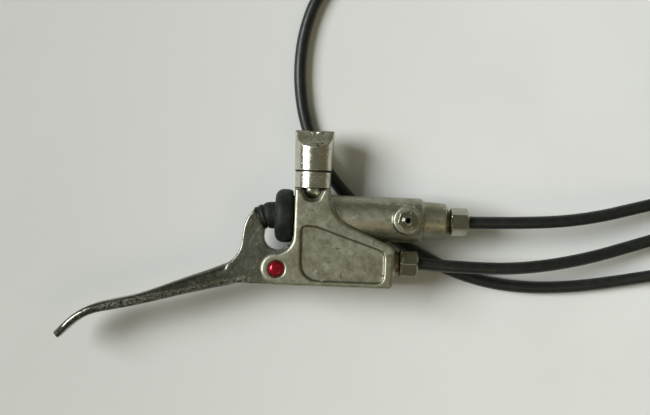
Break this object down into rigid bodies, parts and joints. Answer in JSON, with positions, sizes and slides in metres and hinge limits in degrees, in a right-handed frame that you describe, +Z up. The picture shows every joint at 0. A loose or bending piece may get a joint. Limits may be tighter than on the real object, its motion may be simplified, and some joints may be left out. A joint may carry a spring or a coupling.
{
  "type": "hydraulic brake lever",
  "caption": "Cast hydraulic brake lever for a bicycle: pivoted chromed blade, horn, rubber boot, cylinder, clamp column and hoses with fittings.",
  "frame": {"origin": "on the handlebar's axis, at the middle of the clamp column's saddle", "axes": "+X along the handlebar and the cylinder, towards the hoses; +Y from the lever to the handlebar; +Z up from the bench that the part lies on"},
  "size_m": [0.326, 0.1791, 0.0312],
  "materials": {
    "cast_aluminium": "as cast, worn, faintly pitted",
    "polished_aluminium": "turned and polished, scuffed",
    "lever_chrome": "chrome plate, worn and pitted",
    "plated_steel": "dull plated steel",
    "bright_steel": "bright steel",
    "spring_steel": "drawn wire",
    "brass": "turned brass",
    "red_plastic": "translucent red, glossy",
    "boot_rubber": "soft black moulded rubber",
    "seal_rubber": "black seal rubber",
    "hose_black": "smooth black hose, satin",
    "nylon": "natural nylon"
  },
  "bodies": {
    "root": {"body_casting": "cast_aluminium", "column_spacer": "polished_aluminium", "clamp_saddle": "polished_aluminium", "clamp_washer": "plated_steel", "clamp_bolt": "bright_steel", "pivot_shims": "nylon", "pivot_bolt": "plated_steel", "pivot_cap": "red_plastic", "pivot_nut": "plated_steel", "boot_cap": "boot_rubber", "boot_bellows": "boot_rubber", "return_spring": "spring_steel", "stop_washer": "plated_steel", "circlip": "spring_steel", "gallery_plug": "bright_steel", "bleed_screw": "plated_steel", "hose_nut_upper": "plated_steel", "hose_nut_lower": "plated_steel", "seal_washers": "brass", "olives": "brass", "hose_inserts": "brass", "rear_hose_tube": "hose_black", "rear_hose_tail": "hose_black", "rear_hose_coil": "hose_black", "rear_hose_fitting": "plated_steel", "front_hose_tube": "hose_black", "front_hose_fitting": "plated_steel"},
    "lever": {"lever": "lever_chrome", "lever_bush": "brass"},
    "piston": {"piston": "brass", "primary_cup": "seal_rubber", "secondary_cup": "seal_rubber", "spring_seat": "nylon"},
    "pushrod": {"pushrod": "bright_steel"}
  },
  "joints": [
    {"name": "lever_pivot", "type": "hinge", "parent": "root", "child": "lever", "pos_m": [-0.0133, -0.0593, -0.0126], "axis": [0, 0, -1], "range_deg": [0, 13], "stiffness_Nm_per_rad": 0.8, "springref_deg": -11.46, "deforming": ["boot_bellows"]},
    {"name": "piston_slide", "type": "slide", "parent": "root", "child": "piston", "axis": [1, 0, 0], "range_m": [0, 0.0048], "deforming": ["return_spring"]},
    {"name": "pushrod_swing", "type": "hinge", "parent": "piston", "child": "pushrod", "pos_m": [-0.0013, -0.0381, -0.0126], "axis": [0, 0, -1], "range_deg": [0, 2.8]}
  ],
  "couplings": [
    {"joint": "piston_slide", "follows": "lever_pivot", "m_per_rad": 0.0208},
    {"joint": "pushrod_swing", "follows": "lever_pivot", "ratio": 0.208}
  ]
}
